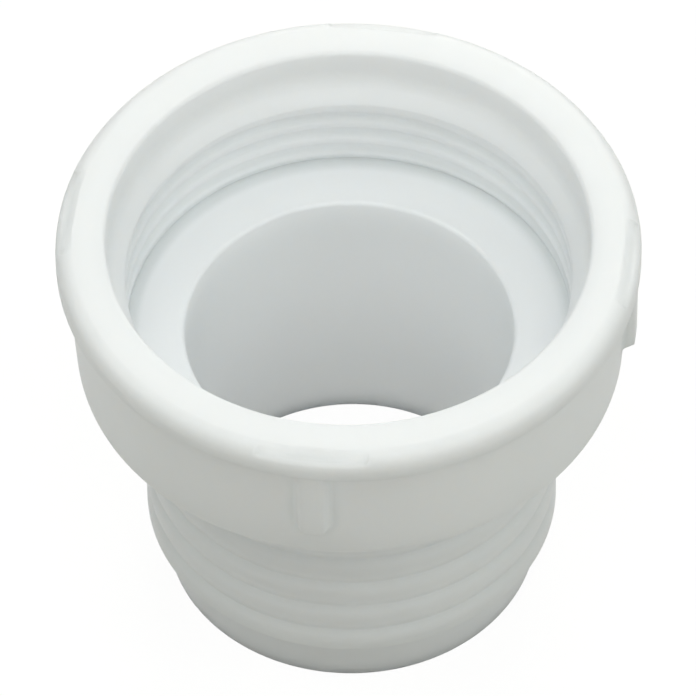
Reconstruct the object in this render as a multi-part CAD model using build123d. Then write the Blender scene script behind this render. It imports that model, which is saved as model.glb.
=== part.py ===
from build123d import *
import os

# Waste pipe reducer: one moulding with a wide threaded socket above and a narrower ringed spigot below.
# Millimetres, +Z up. The origin is the centre of the spigot's end face, on which the part stands.

# Heights along the axis
overall_height = 46.8
bead_height = 2.8
counterbore_depth = 4.9
socket_depth = 14.4
seat_thickness = 2.3
pilot_length = 6.6

# Radii about the axis
bead_radius = 29.25
collar_top_radius = 28.5
collar_bottom_radius = 27.5
counterbore_radius = 24.2
socket_radius = 22.4
bore_radius = 16.6
spigot_radius = 21.0
pilot_top_radius = 19.9
spigot_end_radius = 19.0

# Grooves that leave the rings standing on the spigot, counted up from the pilot
groove_pitch = 3.8
first_groove_height = 9.35
groove_depth = 0.55
groove_lower_slope = 1.15
groove_upper_slope = 1.4

# The rounded rim, the broken edges of the section, and the fills in the corners under the collar and on the ledge
rim_outer_round = 1.6
rim_inner_break = 0.4
bead_lower_break = 0.25
collar_lower_break = 0.7
collar_root_fill = 1.0
ledge_break = 0.3
ledge_root_fill = 0.8
bore_mouth_break = 0.8
spigot_end_break = 0.4

# Grip ribs down the collar, one in each quarter
rib_count = 4
rib_width = 4.1
rib_radius = 29.0
rib_bottom_depth = 12.8
rib_nose_length = 3.4
rib_edge_break = 0.4

# Shallow reliefs in the rim's outer edge, one above each rib
relief_width = 10.8
relief_depth = 0.5
relief_floor_radius = 28.1
relief_slope_width = 0.9

# Levels worked out from the heights
bead_bottom = overall_height - bead_height
ledge_level = overall_height - counterbore_depth
seat_level = overall_height - socket_depth
collar_bottom = seat_level - seat_thickness
rib_bottom = overall_height - rib_bottom_depth

# As many grooves as fit between the first one and the fill under the collar
highest_groove = collar_bottom - collar_root_fill - groove_upper_slope
groove_count = int((highest_groove - first_groove_height) / groove_pitch) + 1


def nearest(section, corner):
    """The section's vertex at a corner of its outline."""
    return section.vertices().sort_by_distance(corner)[0]


def groove(middle):
    """The outline of one groove, from the crest of the ring below it to the crest of the ring above."""
    return [
        (spigot_radius, middle - groove_lower_slope),
        (spigot_radius - groove_depth, middle),
        (spigot_radius, middle + groove_upper_slope),
    ]


def moulding():
    """The whole body of revolution: up the spigot and the collar outside, then down the socket and the bore."""
    spigot_end = (spigot_end_radius, 0)
    collar_root = (spigot_radius, collar_bottom)
    collar_edge = (collar_bottom_radius, collar_bottom)
    bead_edge = (bead_radius, bead_bottom)
    rim_outer = (bead_radius, overall_height)
    rim_inner = (counterbore_radius, overall_height)
    ledge_root = (counterbore_radius, ledge_level)
    ledge_edge = (socket_radius, ledge_level)
    bore_mouth = (bore_radius, seat_level)

    outline = [spigot_end, (pilot_top_radius, pilot_length), (spigot_radius, pilot_length)]
    for number in range(groove_count):
        outline += groove(first_groove_height + number * groove_pitch)
    outline += [collar_root, collar_edge, (collar_top_radius, bead_bottom), bead_edge, rim_outer]
    outline += [rim_inner, ledge_root, ledge_edge]
    outline += [(socket_radius, seat_level), bore_mouth, (bore_radius, 0)]

    breaks = {
        spigot_end: spigot_end_break,
        collar_root: collar_root_fill,
        collar_edge: collar_lower_break,
        bead_edge: bead_lower_break,
        rim_inner: rim_inner_break,
        ledge_root: ledge_root_fill,
        ledge_edge: ledge_break,
        bore_mouth: bore_mouth_break,
    }
    section = make_face(Polyline(*outline, close=True))
    section = fillet(nearest(section, rim_outer), rim_outer_round)
    for corner, size in breaks.items():
        section = chamfer(nearest(section, corner), size)
    return revolve(Plane.XZ * section, Axis.Z)


def rib_envelope():
    """The round limit of all ribs: the radius of their faces, and the slope of their noses into the collar wall."""
    side = make_face(
        Polyline(
            (0, rib_bottom),
            (collar_bottom_radius, rib_bottom),
            (rib_radius, rib_bottom + rib_nose_length),
            (rib_radius, overall_height),
            (0, overall_height),
            close=True,
        )
    )
    return revolve(Plane.XZ * side, Axis.Z)


def grip_rib():
    """One rib on +X: a round-ended strip that follows the bead's curve and dies into the collar wall."""
    rib_root = (counterbore_radius + collar_bottom_radius) / 2
    straight_bottom = rib_bottom + rib_width / 2
    rib_top = bead_bottom + bead_height / 2
    strip = Pos(0, (straight_bottom + rib_top) / 2) * Rectangle(rib_width, rib_top - straight_bottom)
    outline = strip + Pos(0, straight_bottom) * Circle(rib_width / 2)
    rib = extrude(Plane.YZ.offset(rib_root) * outline, bead_radius - rib_root)
    rib = rib & Cylinder(rib_radius, overall_height, align=(Align.CENTER, Align.CENTER, Align.MIN))
    outer_edges = rib.faces().sort_by(Axis.X)[-1].edges()
    return chamfer(outer_edges.sort_by(Axis.Z)[:-1], rib_edge_break) & rib_envelope()


def rim_relief():
    """One relief on +X: the tool that lowers the rim's outer edge, with a sloped inner side."""
    floor = overall_height - relief_depth
    clear = overall_height + relief_depth
    outside = bead_radius + relief_width
    side = make_face(
        Polyline(
            (relief_floor_radius - relief_slope_width, overall_height),
            (relief_floor_radius, floor),
            (outside, floor),
            (outside, clear),
            (relief_floor_radius - relief_slope_width, clear),
            close=True,
        )
    )
    return extrude(Plane.XZ * side, relief_width / 2, both=True)


quarter_turns = PolarLocations(0, rib_count)
reducer_body = moulding()
reducer_body += [turn * grip_rib() for turn in quarter_turns]
reducer_body -= [turn * rim_relief() for turn in quarter_turns]
reducer_body = reducer_body.solid()
reducer_body.label = "reducer_body"

os.makedirs("parts", exist_ok=True)
export_step(reducer_body, "parts/reducer_body.step")

box = reducer_body.bounding_box()
print(f"reducer_body: {box.size.X:.2f} x {box.size.Y:.2f} x {box.size.Z:.2f} mm")
print(f"volume {reducer_body.volume:.0f} mm3, valid {reducer_body.is_valid}")
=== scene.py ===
# %% [markdown]
# # A white waste pipe reducer
# The object is one plastic moulding. A wide socket with a fine inner thread takes the waste above it, a flat seat
# inside carries a washer, and a narrower spigot with shallow rings goes into the pipe below.
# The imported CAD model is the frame: it fixes the place and the size, and this lesson adds the looks.

# %% Load the frame
import math

import bmesh
import bpy
from mathutils import Matrix, Vector


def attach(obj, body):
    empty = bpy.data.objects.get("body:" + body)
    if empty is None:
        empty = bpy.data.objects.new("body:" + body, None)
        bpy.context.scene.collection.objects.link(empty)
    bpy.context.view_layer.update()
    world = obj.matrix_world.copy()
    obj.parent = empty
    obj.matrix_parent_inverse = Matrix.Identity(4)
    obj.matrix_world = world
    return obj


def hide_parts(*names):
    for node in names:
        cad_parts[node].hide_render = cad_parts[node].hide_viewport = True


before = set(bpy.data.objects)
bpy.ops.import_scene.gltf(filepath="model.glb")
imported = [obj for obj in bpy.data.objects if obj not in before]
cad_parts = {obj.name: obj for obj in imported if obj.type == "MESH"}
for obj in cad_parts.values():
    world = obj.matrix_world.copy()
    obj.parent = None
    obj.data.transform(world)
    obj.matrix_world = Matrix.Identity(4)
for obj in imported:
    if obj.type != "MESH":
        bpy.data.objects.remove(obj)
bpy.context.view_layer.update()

MM = 0.001

# %% [markdown]
# ## The section
# A round moulding is best thought of as half a section that is swept round an axis. The section could be drawn by
# hand as a curve, but a list of corners keeps every size readable: each corner is a radius, a height, the rounding of
# its edge, and how closely points are laid on the straight run that follows it. Runs that later carry detail, such as
# the threaded wall, get close points, and a plain bore needs few. Inside, a cove leads from the rim's recess to the
# thread, and a small undercut at the foot of the thread draws the line round the seat.

# %% Sizes of the section, in millimetres
TOP = 46.8
BEAD_RADIUS, BEAD_BOTTOM = 29.25, 44.0
COLLAR_TOP_RADIUS, COLLAR_BOTTOM_RADIUS, COLLAR_BOTTOM = 28.3, 27.5, 30.1
RECESS_RADIUS, COVE_TOP, COVE_BOTTOM = 24.2, 43.2, 40.9
SOCKET_RADIUS, SEAT = 22.4, 32.4
UNDERCUT, UNDERCUT_HEIGHT = 0.45, 0.45
BORE_RADIUS = 16.6
RING_RADIUS, RING_BOTTOM = 21.0, 6.6
PILOT_RADIUS, END_RADIUS = 19.9, 19.0
GROOVES, GROOVE_PITCH, GROOVE_DEPTH = 5, 3.8, 0.52
FIRST_GROOVE, GROOVE_BELOW, GROOVE_ABOVE = 9.35, 1.15, 1.4

# Radius, height, rounding, and the spacing of points up to the next corner
corners = [
    (END_RADIUS, 0.0, 0.4, 1.0),
    (PILOT_RADIUS, RING_BOTTOM, 0.2, 1.0),
    (RING_RADIUS, RING_BOTTOM, 0.15, 1.0),
]
for number in range(GROOVES):
    middle = FIRST_GROOVE + number * GROOVE_PITCH
    corners.append((RING_RADIUS, middle - GROOVE_BELOW, 2.0, 1.0))
    corners.append((RING_RADIUS - GROOVE_DEPTH, middle, 0.2, 1.0))
    corners.append((RING_RADIUS, middle + GROOVE_ABOVE, 2.0, 1.0))
corners += [
    (RING_RADIUS, COLLAR_BOTTOM, 1.0, 2.0),
    (COLLAR_BOTTOM_RADIUS, COLLAR_BOTTOM, 1.0, 0.35),
    (COLLAR_TOP_RADIUS, BEAD_BOTTOM, 0.05, 1.0),
    (BEAD_RADIUS, BEAD_BOTTOM, 0.1, 1.0),
    (BEAD_RADIUS, TOP, 1.6, 0.2),
    (RECESS_RADIUS, TOP, 0.4, 1.5),
    (RECESS_RADIUS, COVE_TOP, 3.0, 1.0),
    (SOCKET_RADIUS, COVE_BOTTOM, 0.3, 0.22),
    (SOCKET_RADIUS, SEAT + UNDERCUT_HEIGHT, 0.1, 0.5),
    (SOCKET_RADIUS + UNDERCUT, SEAT + UNDERCUT_HEIGHT, 0.1, 0.5),
    (SOCKET_RADIUS + UNDERCUT, SEAT, 0.1, 2.0),
    (BORE_RADIUS, SEAT, 0.4, 3.0),
    (BORE_RADIUS, 0.0, 0.3, 1.0),
]
print("corners of the section:", len(corners))

# %% [markdown]
# ## Rounding the corners
# Every edge of a moulding has a small radius, because the steel mould does. Blender's Bevel modifier can add that to a
# finished mesh, but it gives all edges much the same width. Rounding the section itself gives each edge its own
# radius: a corner becomes an arc, and a point close to each end of the arc keeps the shading of the flat run flat.

# %% Turn the corners into a closed outline
ARC_STEP = math.radians(18)
SUPPORT = 0.12


def rounded(before, corner, after, radius):
    """The arc of that radius that touches both runs at a corner."""
    back, ahead = (before - corner).normalized(), (after - corner).normalized()
    turn = math.pi - back.angle(ahead)
    reach = radius * math.tan(turn / 2)
    centre = corner + (back + ahead).normalized() * math.hypot(radius, reach)
    first, last = corner + back * reach - centre, corner + ahead * reach - centre
    first, last = first.normalized(), last.normalized()
    steps = max(2, math.ceil(turn / ARC_STEP))
    return [centre + radius * first.slerp(last, number / steps) for number in range(steps + 1)]


def outline(corners):
    """Arcs at the corners, and points along the runs between them."""
    spots = [Vector((radius, height)) for radius, height, rounding, spacing in corners]
    arcs = [
        rounded(spots[index - 1], spots[index], spots[(index + 1) % len(spots)], corners[index][2])
        for index in range(len(spots))
    ]
    points = []
    for index, arc in enumerate(arcs):
        points += arc
        run = arcs[(index + 1) % len(arcs)][0] - arc[-1]
        inner = run.length - 2 * SUPPORT
        if inner > 2 * SUPPORT:
            pieces = math.ceil(inner / corners[index][3])
            along = [SUPPORT + inner * number / pieces for number in range(pieces + 1)]
            points += [arc[-1] + run.normalized() * distance for distance in along]
    return points


section = outline(corners)
section_mesh = bpy.data.meshes.new("reducer_section")
section_mesh.from_pydata(
    [(point.x * MM, 0, point.y * MM) for point in section],
    [(index, (index + 1) % len(section)) for index in range(len(section))],
    [],
)
reducer = bpy.data.objects.new("reducer_moulding", section_mesh)
bpy.context.scene.collection.objects.link(reducer)
print("points on the section:", len(section))

# %% [markdown]
# ## One helper for all nodes
# Geometry and material trees are both made of nodes with options, inputs and links. This helper adds one node, sets
# its options, and feeds its inputs, in order or by name: a value is typed into the socket, a node or socket is linked.

# %% Add a node
MATH, MIX, RANGE = "ShaderNodeMath", "ShaderNodeMix", "ShaderNodeMapRange"


def add(tree, kind, *feeds, **options):
    """A new node with its options set and its open inputs fed, in order or, from a dictionary, by name."""
    node = tree.nodes.new(kind)
    for name, value in options.items():
        setattr(node, name, value)
    sockets = [socket for socket in node.inputs if socket.enabled]
    if feeds and isinstance(feeds[0], dict):
        named = {socket.name: socket for socket in sockets}
        pairs = [(named[name], feed) for name, feed in feeds[0].items()]
    else:
        pairs = zip(sockets, feeds)
    for socket, feed in pairs:
        if isinstance(feed, bpy.types.Node):
            feed = next(out for out in feed.outputs if out.enabled)
        if isinstance(feed, bpy.types.NodeSocket):
            tree.links.new(feed, socket)
        else:
            socket.default_value = feed
    return node


# %% [markdown]
# ## Moulded white polypropylene
# Waste fittings like this are injection moulded from polypropylene with white pigment. It scatters light a little way
# under the skin, so edges look soft, and the mould's finish leaves a satin skin, neither glossy nor matt. The colour
# is a cool white that drifts very slightly with the flow of the melt. A flat white would look like paper, so four
# things lie over it, each sized in millimetres: a slow drift of the white, painted shade that greys the creases, a
# fine skin that scatters highlights, and faint draw lines up the walls, where the part slid out of the mould.

# %% Colours and scales
def linear(code):
    """A colour written as sRGB hex, as the linear values that shaders work in."""
    channels = [int(code[start : start + 2], 16) / 255 for start in (1, 3, 5)]
    return [c / 12.92 if c <= 0.04045 else ((c + 0.055) / 1.055) ** 2.4 for c in channels] + [1.0]


def per_mm(size):
    """The scale of a pattern whose features are that many millimetres across, on coordinates in metres."""
    return 1 / (size * MM)


print("one millimetre is a scale of", per_mm(1))

# %% [markdown]
# ## Building the plastic
# The Principled shader could take one colour and one roughness, which is enough for a toy. Here the drift and the
# painted crease shade mix the colour, the fine skin sets the roughness, and the skin and the draw lines together set
# the bump. The patterns use Object coordinates, so they stay on the part when it moves.

# %% The plastic
# It gives the eye a soft, cool white with a satin skin, whose edges are drawn by painted shade in the creases
plastic = bpy.data.materials.new("moulded_white_polypropylene")
plastic.use_nodes = True
tree = plastic.node_tree
tree.nodes.clear()
place = add(tree, "ShaderNodeTexCoord").outputs["Object"]
drift = add(tree, "ShaderNodeTexNoise", {"Vector": place, "Scale": per_mm(9), "Detail": 2.0})
white = add(tree, MIX, drift, linear("#F4F7FB"), linear("#F8FBFE"), data_type="RGBA")
# Painted shade: an ambient occlusion mask greys the creases, which draws the edges of the rings, the ribs and the
# thread
openness = add(tree, "ShaderNodeAmbientOcclusion", {"Distance": 1.6 * MM}, samples=4, only_local=True)
painted_crease_shade = add(tree, RANGE, openness.outputs["AO"], 0.75, 1.0, 0.3, 0.0)
# The grey mixed into the base colour here is painted shade where the part hides its own creases
colour = add(tree, MIX, painted_crease_shade, white.outputs[2], linear("#B9BFBB"), data_type="RGBA")
skin = add(tree, "ShaderNodeTexNoise", {"Vector": place, "Scale": per_mm(0.45), "Detail": 3.0})
gloss = add(tree, RANGE, skin, 0.3, 0.7, 0.36, 0.48)
stretched = add(tree, "ShaderNodeMapping", {"Vector": place, "Scale": (1, 1, 0.04)})
draw_lines = add(tree, "ShaderNodeTexNoise", {"Vector": stretched, "Scale": per_mm(0.7), "Detail": 2.0})
texture = add(tree, MIX, 0.4, skin, draw_lines, data_type="FLOAT")
bump = add(tree, "ShaderNodeBump", {"Strength": 0.12, "Distance": 0.05 * MM, "Height": texture})
plastic_shader = add(
    tree,
    "ShaderNodeBsdfPrincipled",
    {
        "Base Color": colour.outputs[2],
        "Roughness": gloss,
        "IOR": 1.49,
        "Normal": bump,
        "Subsurface Weight": 0.85,
        "Subsurface Radius": (1.0, 0.95, 0.9),
        "Subsurface Scale": 8.0 * MM,
    },
)
add(tree, "ShaderNodeOutputMaterial", plastic_shader)
print("material", plastic.name, "with", len(tree.nodes), "nodes")

# %% [markdown]
# ## Trees that take sizes
# Geometry Nodes can build the round body because its shape follows a rule. Each tree below gets its sizes through
# named inputs, so the same tree would make a reducer of another size, and each ends in plain geometry with its
# material on it. Three helpers do this for every tree: open it, close it, and put it on the piece.

# %% Open, close and use a geometry tree
def open_tree(name, sizes):
    """A geometry tree with a geometry, these named sizes and a material as its inputs."""
    tree = bpy.data.node_groups.new(name, "GeometryNodeTree")
    tree.interface.new_socket("Geometry", in_out="INPUT", socket_type="NodeSocketGeometry")
    for size, value in sizes.items():
        kind = "NodeSocketInt" if isinstance(value, int) else "NodeSocketFloat"
        tree.interface.new_socket(size, in_out="INPUT", socket_type=kind)
    tree.interface.new_socket("Material", in_out="INPUT", socket_type="NodeSocketMaterial")
    tree.interface.new_socket("Geometry", in_out="OUTPUT", socket_type="NodeSocketGeometry")
    return tree, tree.nodes.new("NodeGroupInput").outputs


def close_tree(tree, geometry, material):
    """Ends a tree in plain, smooth geometry with its material."""
    smooth = add(tree, "GeometryNodeSetShadeSmooth", {"Geometry": geometry, "Shade Smooth": True})
    real = add(tree, "GeometryNodeRealizeInstances", smooth)
    dressed = add(tree, "GeometryNodeSetMaterial", {"Geometry": real, "Material": material})
    add(tree, "NodeGroupOutput", dressed)


def use_tree(piece, tree, sizes):
    """Puts a tree on a piece as a modifier and sets its inputs by the sockets' identifiers."""
    modifier = piece.modifiers.new(tree.name, "NODES")
    modifier.node_group = tree
    values = dict(sizes, Material=plastic)
    for item in tree.interface.items_tree:
        if item.in_out == "INPUT" and item.name in values:
            modifier[item.identifier] = values[item.name]
    print("tree", tree.name, "with", len(tree.nodes), "nodes")


# %% [markdown]
# ## Sweeping the section
# Spin, Screw or a curve bevel would all sweep the section round. In a tree, Curve to Mesh carries a profile along a
# circle, and the points of both curves keep their stored values on the mesh, so each point can then be put exactly
# where its section spot and its turn say. The turns crowd together beside the ribs, where the collar has detail, and
# spread out between them, where it has none.

# %% The swept body
sweep_sizes = {"Segments": 296, "Ribs": 4, "Crowded share": 0.6, "Crowded angle": math.radians(12)}
tree, given = open_tree("swept_section", sweep_sizes)
spot = add(tree, "GeometryNodeInputPosition")
profile = add(tree, "GeometryNodeMeshToCurve", given["Geometry"])
profile = add(
    tree,
    "GeometryNodeStoreNamedAttribute",
    {"Geometry": profile, "Name": "section_spot", "Value": spot},
    data_type="FLOAT_VECTOR",
)
circle = add(tree, "GeometryNodeCurvePrimitiveCircle", {"Resolution": given["Segments"], "Radius": 1.0})
part_turn = add(tree, "GeometryNodeSplineParameter")
circle = add(tree, "GeometryNodeStoreNamedAttribute", {"Geometry": circle, "Name": "part_turn", "Value": part_turn})
body = add(tree, "GeometryNodeCurveToMesh", {"Curve": circle, "Profile Curve": profile})

# How far a point lies from the nearest rib, as a share of half the gap between two ribs
part_turn = add(tree, "GeometryNodeInputNamedAttribute", "part_turn", data_type="FLOAT")
ribs_passed = add(tree, MATH, part_turn, given["Ribs"], operation="MULTIPLY")
nearest_rib = add(tree, MATH, ribs_passed, operation="ROUND")
side = add(tree, MATH, ribs_passed, nearest_rib, operation="SUBTRACT")
share = add(tree, MATH, side, operation="ABSOLUTE")
share = add(tree, MATH, share, 2.0, operation="MULTIPLY")
# The crowded angle takes its share of the points, and the rest of the gap takes what is left
rib_angle = add(tree, MATH, 2 * math.pi, given["Ribs"], operation="DIVIDE")
half_gap = add(tree, MATH, rib_angle, 0.5, operation="MULTIPLY")
crowded = add(tree, RANGE, share, 0.0, given["Crowded share"], 0.0, given["Crowded angle"])
open_angle = add(tree, MATH, half_gap, given["Crowded angle"], operation="SUBTRACT")
spread = add(tree, RANGE, share, given["Crowded share"], 1.0, 0.0, open_angle)
away = add(tree, MATH, side, operation="SIGN")
offset = add(tree, MATH, crowded, spread, operation="ADD")
offset = add(tree, MATH, offset, away, operation="MULTIPLY")
angle = add(tree, MATH, nearest_rib, rib_angle, offset, operation="MULTIPLY_ADD")
# The section's spot, turned by that angle about the axis
section_spot = add(tree, "GeometryNodeInputNamedAttribute", "section_spot", data_type="FLOAT_VECTOR")
turned = add(tree, "ShaderNodeVectorRotate", {"Vector": section_spot, "Angle": angle}, rotation_type="Z_AXIS")
body = add(tree, "GeometryNodeSetPosition", {"Geometry": body, "Position": turned})
close_tree(tree, body, given["Material"])
use_tree(reducer, tree, sweep_sizes)

# %% [markdown]
# ## Grip ribs and rim reliefs
# Four ribs stand on the collar for a grip, and above each one the rim's outer edge is cut down in a shallow relief.
# Both could be separate meshes joined by a Boolean, which leaves sharp joins and stray edges. Here they are moves of
# the points that are already there: a point within a rib's outline goes out to the rib's face, and a point above a
# relief's floor goes down to it. The body stays one closed skin, and the moves fade over a small edge width.

# %% The ribs and reliefs
rib_sizes = {
    "Ribs": 4,
    "Rib width": 3.7 * MM,
    "Rib face radius": 29.0 * MM,
    "Rib lower end": 34.0 * MM,
    "Rib upper end": (BEAD_BOTTOM + 0.6) * MM,
    "Rib nose": 1.8 * MM,
    "Rib nose power": 3.0,
    "Rib edge": 0.7 * MM,
    "Wall inside": 26.0 * MM,
    "Relief width": 10.8 * MM,
    "Relief depth": 0.75 * MM,
    "Relief floor radius": 28.1 * MM,
    "Relief slope": 0.55 * MM,
    "Relief edge": 0.25 * MM,
    "Rim level": TOP * MM,
}
tree, given = open_tree("ribs_and_reliefs", rib_sizes)
spot = add(tree, "GeometryNodeInputPosition")
spot_parts = add(tree, "ShaderNodeSeparateXYZ", spot)
x, y, z = spot_parts.outputs
flat_spot = add(tree, "ShaderNodeCombineXYZ", x, y, 0.0)
radius = add(tree, "ShaderNodeVectorMath", flat_spot, operation="LENGTH").outputs["Value"]
angle = add(tree, MATH, y, x, operation="ARCTAN2")
rib_angle = add(tree, MATH, 2 * math.pi, given["Ribs"], operation="DIVIDE")
half_gap = add(tree, MATH, rib_angle, 0.5, operation="MULTIPLY")
minus_half_gap = add(tree, MATH, half_gap, -1.0, operation="MULTIPLY")
from_rib = add(tree, MATH, angle, half_gap, minus_half_gap, operation="WRAP")
# Distances across the rib and straight out along its middle
sine = add(tree, MATH, from_rib, operation="SINE")
cosine = add(tree, MATH, from_rib, operation="COSINE")
across = add(tree, MATH, radius, sine, operation="MULTIPLY")
across = add(tree, MATH, across, operation="ABSOLUTE")
outward = add(tree, MATH, radius, cosine, operation="MULTIPLY")
# A rib is a strip with a half-round lower end: its edge is half a width from its middle line
half_width = add(tree, MATH, given["Rib width"], 0.5, operation="MULTIPLY")
round_level = add(tree, MATH, given["Rib lower end"], half_width, operation="ADD")
below = add(tree, MATH, round_level, z, operation="SUBTRACT")
below = add(tree, MATH, below, 0.0, operation="MAXIMUM")
from_middle = add(tree, "ShaderNodeCombineXYZ", across, below, 0.0)
from_middle = add(tree, "ShaderNodeVectorMath", from_middle, operation="LENGTH").outputs["Value"]
inside_edge = add(tree, MATH, half_width, given["Rib edge"], operation="SUBTRACT")
on_rib = add(tree, RANGE, from_middle, half_width, inside_edge, 0.0, 1.0, interpolation_type="SMOOTHSTEP")
outer_wall = add(tree, MATH, radius, given["Wall inside"], operation="GREATER_THAN")
under_bead = add(tree, MATH, z, given["Rib upper end"], operation="LESS_THAN")
# Seen from the side its lower end is a nose that curves back into the wall
nose_end = add(tree, MATH, given["Rib lower end"], given["Rib nose"], operation="ADD")
short = add(tree, RANGE, z, given["Rib lower end"], nose_end, 1.0, 0.0)
short = add(tree, MATH, short, given["Rib nose power"], operation="POWER")
nose = add(tree, MATH, 1.0, short, operation="SUBTRACT")
on_rib = add(tree, MATH, on_rib, nose, operation="MULTIPLY")
on_rib = add(tree, MATH, on_rib, outer_wall, operation="MULTIPLY")
on_rib = add(tree, MATH, on_rib, under_bead, operation="MULTIPLY")
rib_radius = add(tree, MIX, on_rib, radius, given["Rib face radius"])
rib_radius = add(tree, MATH, rib_radius, radius, operation="MAXIMUM")
growth = add(tree, MATH, rib_radius, radius, operation="DIVIDE")
# A relief drops the rim's edge to a floor, down a short slope
slope_start = add(tree, MATH, given["Relief floor radius"], given["Relief slope"], operation="SUBTRACT")
drop = add(tree, RANGE, outward, slope_start, given["Relief floor radius"], 0.0, given["Relief depth"])
half_relief = add(tree, MATH, given["Relief width"], 0.5, operation="MULTIPLY")
relief_end = add(tree, MATH, half_relief, given["Relief edge"], operation="ADD")
in_relief = add(tree, RANGE, across, relief_end, half_relief, 0.0, 1.0)
drop = add(tree, MATH, drop, in_relief, operation="MULTIPLY")
floor_level = add(tree, MATH, given["Rim level"], drop, operation="SUBTRACT")
level = add(tree, MATH, z, floor_level, operation="MINIMUM")
new_x = add(tree, MATH, x, growth, operation="MULTIPLY")
new_y = add(tree, MATH, y, growth, operation="MULTIPLY")
new_spot = add(tree, "ShaderNodeCombineXYZ", new_x, new_y, level)
body = add(tree, "GeometryNodeSetPosition", {"Geometry": given["Geometry"], "Position": new_spot})
close_tree(tree, body, given["Material"])
use_tree(reducer, tree, rib_sizes)

# %% [markdown]
# ## The socket's thread
# A fine right-handed thread winds down the socket's wall from the cove to the undercut. The Screw modifier makes such
# a helix from a profile, but its ends have to be trimmed and joined by hand. A rule does it in place: the height of a
# point, less its share of a turn, says where it is between two crests, and its wall point moves out by that much.
# The thread fades in under the cove and out above the undercut, as the run-outs of a moulded thread do.

# %% The thread
thread_sizes = {
    "Pitch": 2.4 * MM,
    "Start": 0.48,
    "Depth": 0.46 * MM,
    "Crest ends": 0.1,
    "Root starts": 0.4,
    "Upper end": COVE_BOTTOM * MM,
    "Lower end": (SEAT + UNDERCUT_HEIGHT) * MM,
    "Run-out": 0.7 * MM,
    "Wall radius": SOCKET_RADIUS * MM,
    "Wall reach": 0.1 * MM,
}
tree, given = open_tree("socket_thread", thread_sizes)
spot = add(tree, "GeometryNodeInputPosition")
spot_parts = add(tree, "ShaderNodeSeparateXYZ", spot)
x, y, z = spot_parts.outputs
angle = add(tree, MATH, y, x, operation="ARCTAN2")
turn = add(tree, MATH, angle, 2 * math.pi, operation="DIVIDE")
pitches = add(tree, MATH, z, given["Pitch"], operation="DIVIDE")
phase = add(tree, MATH, pitches, turn, operation="SUBTRACT")
phase = add(tree, MATH, phase, given["Start"], operation="ADD")
# From 0 on a crest to half a pitch in a root and back
wave = add(tree, MATH, phase, 0.5, operation="PINGPONG")
flank = (given["Crest ends"], given["Root starts"])
groove = add(tree, RANGE, wave, *flank, 0.0, given["Depth"], interpolation_type="SMOOTHSTEP")
below_top = add(tree, MATH, given["Upper end"], z, operation="SUBTRACT")
above_seat = add(tree, MATH, z, given["Lower end"], operation="SUBTRACT")
near_end = add(tree, MATH, below_top, above_seat, operation="MINIMUM")
fade = add(tree, RANGE, near_end, 0.0, given["Run-out"], 0.0, 1.0, interpolation_type="SMOOTHSTEP")
flat_spot = add(tree, "ShaderNodeCombineXYZ", x, y, 0.0)
radius = add(tree, "ShaderNodeVectorMath", flat_spot, operation="LENGTH").outputs["Value"]
from_wall = add(tree, MATH, radius, given["Wall radius"], operation="SUBTRACT")
on_wall = add(tree, MATH, from_wall, 0.0, given["Wall reach"], operation="COMPARE")
groove = add(tree, MATH, groove, fade, operation="MULTIPLY")
groove = add(tree, MATH, groove, on_wall, operation="MULTIPLY")
outward = add(tree, "ShaderNodeVectorMath", flat_spot, operation="NORMALIZE")
move = add(tree, "ShaderNodeVectorMath", {"Vector": outward, "Scale": groove}, operation="SCALE")
body = add(tree, "GeometryNodeSetPosition", {"Geometry": given["Geometry"], "Offset": move})
for name in ("section_spot", "part_turn"):
    body = add(tree, "GeometryNodeRemoveAttribute", {"Geometry": body, "Name": name})
close_tree(tree, body, given["Material"])
use_tree(reducer, tree, thread_sizes)

# %% [markdown]
# ## A plain mesh
# The modifiers hold the recipe, and the finished piece is the plain mesh that they give. Points that lie on each
# other are merged, and the faces are turned to look outwards, which a closed skin's signed volume shows.

# %% Bake the moulding
MERGE_WITHIN = 0.002 * MM
graph = bpy.context.evaluated_depsgraph_get()
baked = bpy.data.meshes.new_from_object(reducer.evaluated_get(graph))
reducer.modifiers.clear()
reducer.data = baked
shell = bmesh.new()
shell.from_mesh(baked)
bmesh.ops.remove_doubles(shell, verts=shell.verts, dist=MERGE_WITHIN)
bmesh.ops.recalc_face_normals(shell, faces=shell.faces)
if shell.calc_volume(signed=True) < 0:
    bmesh.ops.reverse_faces(shell, faces=shell.faces)
print("volume in cm3:", round(shell.calc_volume(signed=True) / 1e-6, 2))
print("open edges:", sum(not edge.is_manifold for edge in shell.edges))
print("triangles:", sum(len(face.verts) - 2 for face in shell.faces))
shell.to_mesh(baked)
shell.free()
baked.materials.clear()
baked.materials.append(plastic)
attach(reducer, "root")
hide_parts("reducer_body")

# %% [markdown]
# ## The table it stands on
# A plain pale sheet under the part takes its shadow and throws a little light back up. To the camera the sheet is
# nearly white all over, with only part of the shadow left in it, as in a catalogue picture. More light would do that
# too, but it would wash out the part. The sheet's material asks instead how a ray reached it: a ray that shows the
# sheet itself meets a white veil, and one that only carries its light to the part meets the plain paper.

# %% The sheet
SHEET = 3.0
BELOW_THE_PART = 0.05 * MM
VEIL, VEIL_STRENGTH = 0.85, 1.1


def shown(tree):
    """1 for a ray that shows a surface, from the camera or by way of gloss or glass, and 0 for one that lights."""
    rays = add(tree, "ShaderNodeLightPath").outputs
    seen = add(tree, MATH, rays["Is Camera Ray"], rays["Is Glossy Ray"], operation="MAXIMUM")
    return add(tree, MATH, seen, rays["Is Transmission Ray"], operation="MAXIMUM")


sheet_mesh = bpy.data.meshes.new("studio_sheet")
sheet_corners = [(-SHEET, -SHEET, 0), (SHEET, -SHEET, 0), (SHEET, SHEET, 0), (-SHEET, SHEET, 0)]
sheet_mesh.from_pydata(sheet_corners, [], [(0, 1, 2, 3)])
sheet = bpy.data.objects.new("studio_sheet", sheet_mesh)
sheet.location.z = -BELOW_THE_PART
bpy.context.scene.collection.objects.link(sheet)
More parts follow.
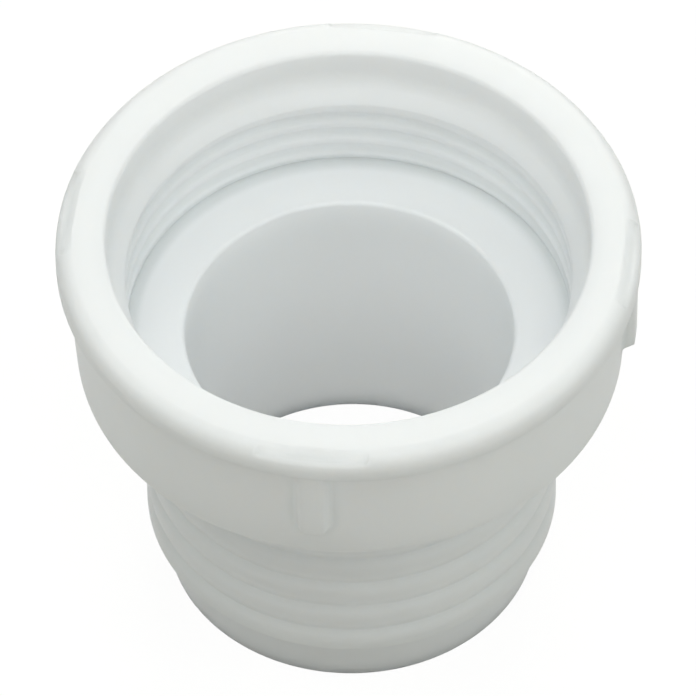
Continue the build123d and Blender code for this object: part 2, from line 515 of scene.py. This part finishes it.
# It gives the eye a plain white ground with a trace of shadow, and the part a soft grey light from below
paper = bpy.data.materials.new("pale_studio_paper")
paper.use_nodes = True
tree = paper.node_tree
tree.nodes.clear()
veil = add(tree, MATH, shown(tree), VEIL, operation="MULTIPLY")
place = add(tree, "ShaderNodeTexCoord").outputs["Object"]
grain = add(tree, "ShaderNodeTexNoise", {"Vector": place, "Scale": per_mm(2.0)})
pale = add(tree, MIX, grain, linear("#C6C6C2"), linear("#CCCCC8"), data_type="RGBA")
matt = add(tree, "ShaderNodeBsdfDiffuse", {"Color": pale.outputs[2]})
bright = add(tree, "ShaderNodeEmission", {"Color": linear("#FFFFFF"), "Strength": VEIL_STRENGTH})
add(tree, "ShaderNodeOutputMaterial", add(tree, "ShaderNodeMixShader", veil, matt, bright))
sheet_mesh.materials.append(paper)
print("sheet", 2 * SHEET, "m wide")

# %% [markdown]
# ## Light
# The photographed part has hardly any shadow: the rim is brightest, the walls fall off gently downwards, and even the
# bore is lit, as under a ring of softboxes. One sun or one lamp would leave a dark side, and a bright even world would
# leave the socket dull. So six wide area lamps stand round the part, the one in front strongest, each with a faint
# tint: cool from overhead, which shows inside the socket, and warmer or greener on the walls. The world comes first.
# It adds almost nothing to the light, and where the camera looks past the sheet, it is white.

# %% The world
WORLD_LIGHT, WORLD_SHOWN = 0.02, 1.0
world = bpy.data.worlds.new("studio_world")
bpy.context.scene.world = world
world.use_nodes = True
tree = world.node_tree
tree.nodes.clear()
glow = add(tree, MIX, shown(tree), WORLD_LIGHT, WORLD_SHOWN, data_type="FLOAT")
sky = add(tree, "ShaderNodeBackground", {"Color": linear("#FFFFFF"), "Strength": glow})
add(tree, "ShaderNodeOutputWorld", sky)
print("world lights at", WORLD_LIGHT, "and shows at", WORLD_SHOWN)

# %% [markdown]
# ## Softboxes
# A square area lamp is a softbox: the wider it is, the softer the shadow's edge. Each one stands about a metre away
# and is turned to the part by tracking its -Z axis, along which a lamp shines, to the origin. A Track To constraint
# would do the same, but a plain rotation has nothing to work out later.

# %% The softboxes
# Name, place in metres, width in metres, power in watts, tint
LAMPS = [
    ("overhead_softbox", (0.0, -0.05, 1.2), 0.4, 1.7, "#EEF3FF"),
    ("front_softbox", (0.1, -0.6, 0.95), 0.9, 4.8, "#FFFFF7"),
    ("right_softbox", (0.85, -0.1, 0.75), 0.7, 3.2, "#F9FFFA"),
    ("left_softbox", (-0.75, -0.1, 0.85), 0.7, 3.1, "#F9FFFA"),
    ("back_softbox", (0.0, 0.85, 0.75), 0.7, 3.5, "#FFFFFA"),
    ("low_back_softbox", (0.0, 1.0, 0.4), 0.7, 2.4, "#FFFFFA"),
]
for name, spot, width, watts, tint in LAMPS:
    lamp = bpy.data.lights.new(name, "AREA")
    lamp.shape = "SQUARE"
    lamp.size = width
    lamp.energy = watts
    lamp.color = linear(tint)[:3]
    stand = bpy.data.objects.new(name, lamp)
    stand.location = spot
    stand.rotation_euler = (-stand.location).to_track_quat("-Z", "Y").to_euler()
    bpy.context.scene.collection.objects.link(stand)
    print("lamp", name, watts, "W over", width, "m")

# %% [markdown]
# ## The camera
# The picture was taken from about half way up, with a long lens: the two ends of the bore are nearly the same size in
# it. The camera stands on the line from the rim's centre at that height, turned a little to the right of the front
# rib, and looks slightly below the rim, which puts the rim's centre above the middle of the picture.

# %% The camera
PICTURE = 696
ELEVATION, AZIMUTH, ROLL = math.radians(49.54), math.radians(7.8), math.radians(0.75)
DISTANCE = 965 * MM
SCALE = 10.034 / MM
RIM_SPOT = Vector((348.3, 235.5))
rim = Vector((0, 0, TOP * MM))
flat = math.cos(ELEVATION)
toward = Vector((math.sin(AZIMUTH) * flat, -math.cos(AZIMUTH) * flat, math.sin(ELEVATION)))
level_right = Vector((math.cos(AZIMUTH), math.sin(AZIMUTH), 0))
level_up = toward.cross(level_right)
right = level_right * math.cos(ROLL) - level_up * math.sin(ROLL)
up = level_right * math.sin(ROLL) + level_up * math.cos(ROLL)
eye = rim + toward * DISTANCE
middle = rim + right * (PICTURE / 2 - RIM_SPOT.x) / SCALE + up * (RIM_SPOT.y - PICTURE / 2) / SCALE
back = (eye - middle).normalized()
right = up.cross(back).normalized()
lens = bpy.data.cameras.new("long_lens")
lens.sensor_width = 36
lens.lens = lens.sensor_width * DISTANCE * SCALE / PICTURE
lens.clip_start = 0.05
camera = bpy.data.objects.new("long_lens", lens)
camera.matrix_world = Matrix.Translation(eye) @ Matrix((right, back.cross(right), back)).transposed().to_4x4()
bpy.context.scene.collection.objects.link(camera)
bpy.context.scene.camera = camera
bpy.context.scene.view_settings.view_transform = "Standard"
print("lens", round(lens.lens), "mm")
